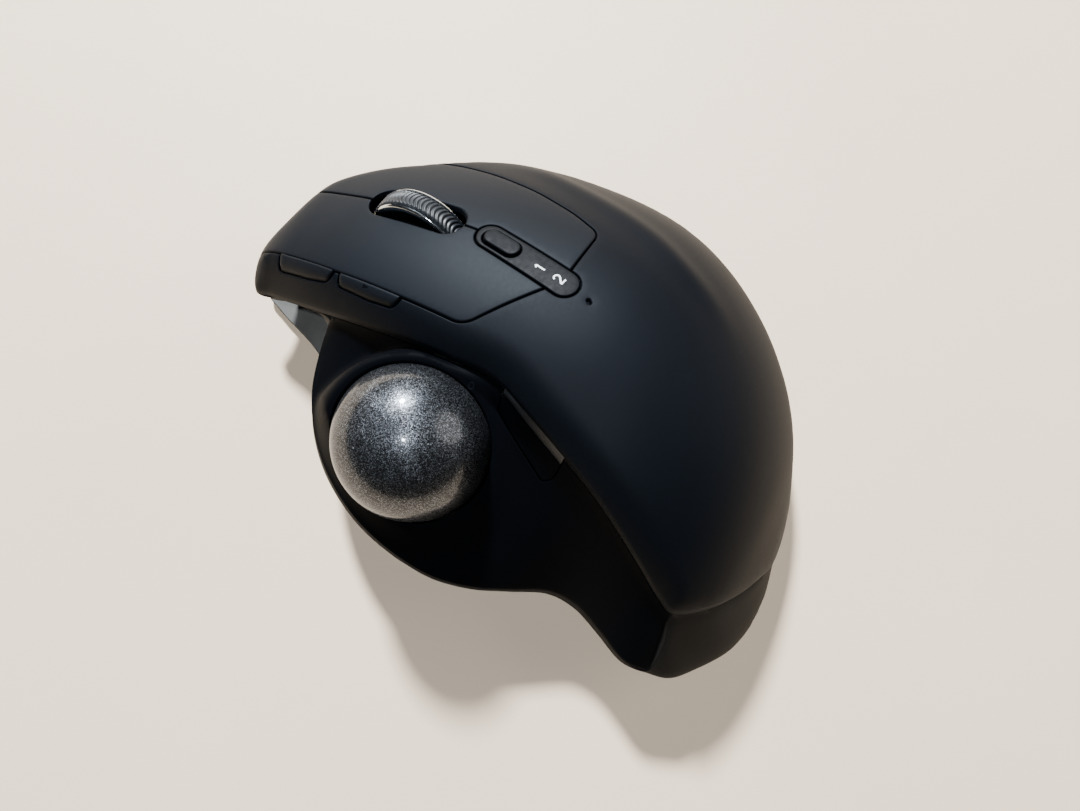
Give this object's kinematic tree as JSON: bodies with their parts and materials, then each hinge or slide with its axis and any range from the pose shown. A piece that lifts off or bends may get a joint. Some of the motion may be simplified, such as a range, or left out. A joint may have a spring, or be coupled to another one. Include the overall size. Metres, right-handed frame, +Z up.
{
  "type": "trackball mouse",
  "caption": "Right-handed thumb-operated trackball mouse with a scroll wheel, two keys and side buttons, leaning on a hinged steel base plate.",
  "frame": {"origin": "on the desk under the palm, 4 mm left of the hinge line and half way along it: the bottom of the rubber mat", "axes": "+Z up, +Y forward towards the fronts of the keys, +X to the right; the thumb and the ball are on the -X side"},
  "size_m": [0.1011, 0.141, 0.0489],
  "materials": {
    "mat_rubber": "thin moulded rubber sheet",
    "plate_steel": "satin grey steel plate",
    "pin_steel": "bright turned steel",
    "magnet": "nickel-plated disc magnet",
    "soft_black": "soft-touch paint over plastic, blue-black",
    "key_black": "soft-touch plastic, charcoal",
    "panel_black": "soft grip rubber over plastic, near black",
    "shell_black": "fine-grained moulded plastic, charcoal",
    "gloss_black": "smooth semi-gloss plastic, black",
    "ball_pearl": "polished resin with fine metallic flake, dark pearl grey",
    "inner_plastic": "plain moulded plastic",
    "ceramic": "polished ceramic bead",
    "clear_plastic": "clear moulded acrylic",
    "light_white": "milky light window",
    "tyre_rubber": "fine-ribbed rubber",
    "rim_chrome": "bright plated ring",
    "circuit_board": "green circuit board with solder mask",
    "switch_case": "black switch and chip housing",
    "battery_foil": "grey laminated foil pouch",
    "port_steel": "drawn sheet-steel shell"
  },
  "bodies": {
    "root": {"base_mat": "mat_rubber", "base_plate": "plate_steel", "hinge_pin_front": "pin_steel", "hinge_pin_rear": "pin_steel"},
    "housing": {"bottom_chassis": "shell_black", "top_cover": "soft_black", "thumb_panel": "panel_black", "chassis_screw_1": "pin_steel", "chassis_screw_2": "pin_steel", "chassis_screw_3": "pin_steel", "chassis_screw_4": "pin_steel", "magnet_flat": "magnet", "magnet_tilt": "magnet", "key_board": "circuit_board", "left_switch": "switch_case", "right_switch": "switch_case", "side_board": "circuit_board", "forward_switch": "switch_case", "back_switch": "switch_case", "precision_switch": "switch_case", "mode_strip": "gloss_black", "mode_board": "circuit_board", "mode_switch": "switch_case", "channel_light_1": "clear_plastic", "channel_light_2": "clear_plastic", "battery_light": "light_white", "ball_cup": "inner_plastic", "ball_bearing_1": "ceramic", "ball_bearing_2": "ceramic", "ball_bearing_3": "ceramic", "sensor_lens": "clear_plastic", "ball_sensor": "switch_case", "wheel_switch": "switch_case", "main_board": "circuit_board", "processor": "switch_case", "battery": "battery_foil", "usb_port": "port_steel", "usb_board": "circuit_board", "power_switch": "switch_case"},
    "ball": {"trackball": "ball_pearl"},
    "left_key": {"left_key": "key_black"},
    "right_key": {"right_key": "key_black"},
    "forward_button": {"forward_button": "key_black"},
    "back_button": {"back_button": "key_black"},
    "precision_button": {"precision_button": "gloss_black"},
    "mode_button": {"mode_button": "gloss_black"},
    "wheel_press": {"wheel_press_frame": "inner_plastic"},
    "wheel_tilt": {"wheel_cradle": "inner_plastic", "wheel_encoder": "switch_case"},
    "wheel": {"wheel_tyre": "tyre_rubber", "wheel_hub": "inner_plastic", "wheel_rim_left": "rim_chrome", "wheel_rim_right": "rim_chrome", "wheel_axle": "pin_steel"},
    "power_slider": {"power_slider": "shell_black"}
  },
  "joints": [
    {"name": "housing_tilt", "type": "hinge", "parent": "root", "child": "housing", "pos_m": [0.004, 0, 0.0036], "axis": [0, 1, 0], "range_deg": [-20, 0]},
    {"name": "ball_roll", "type": "hinge", "parent": "housing", "child": "ball", "pos_m": [-0.01925, 0.0152, 0.03154], "axis": [0, 1, 0], "continuous": true},
    {"name": "left_click", "type": "hinge", "parent": "housing", "child": "left_key", "pos_m": [0.01474, 0.012, 0.04481], "axis": [0.9397, 0, -0.342], "range_deg": [-1, 0], "stiffness_Nm_per_rad": 2, "springref_deg": 0.23},
    {"name": "right_click", "type": "hinge", "parent": "housing", "child": "right_key", "pos_m": [0.03354, 0.008, 0.03797], "axis": [0.9397, 0, -0.342], "range_deg": [-1, 0], "stiffness_Nm_per_rad": 2, "springref_deg": 0.23},
    {"name": "wheel_click", "type": "slide", "parent": "housing", "child": "wheel_press", "axis": [-0.342, 0, -0.9397], "range_m": [0, 0.0006], "stiffness_N_per_m": 900, "springref_m": -0.0005},
    {"name": "wheel_side_tilt", "type": "hinge", "parent": "wheel_press", "child": "wheel_tilt", "pos_m": [0.01498, 0.038, 0.01301], "axis": [0, 1, 0], "range_deg": [-1, 1], "stiffness_Nm_per_rad": 2},
    {"name": "wheel_spin", "type": "hinge", "parent": "wheel_tilt", "child": "wheel", "pos_m": [0.02004, 0.038, 0.02692], "axis": [0.9397, 0, -0.342], "continuous": true},
    {"name": "forward_press", "type": "slide", "parent": "housing", "child": "forward_button", "axis": [-0.1472, 0, -0.9891], "range_m": [0, 0.0006], "stiffness_N_per_m": 500, "springref_m": -0.0004},
    {"name": "back_press", "type": "slide", "parent": "housing", "child": "back_button", "axis": [-0.1472, 0, -0.9891], "range_m": [0, 0.0006], "stiffness_N_per_m": 500, "springref_m": -0.0004},
    {"name": "precision_press", "type": "slide", "parent": "housing", "child": "precision_button", "axis": [-0.1472, 0, -0.9891], "range_m": [0, 0.0005], "stiffness_N_per_m": 500, "springref_m": -0.0004},
    {"name": "mode_press", "type": "slide", "parent": "housing", "child": "mode_button", "axis": [-0.342, 0, -0.9397], "range_m": [0, 0.0005], "stiffness_N_per_m": 500, "springref_m": -0.0004},
    {"name": "power_slide", "type": "slide", "parent": "housing", "child": "power_slider", "axis": [0.9397, 0, -0.342], "range_m": [0, 0.003]}
  ]
}
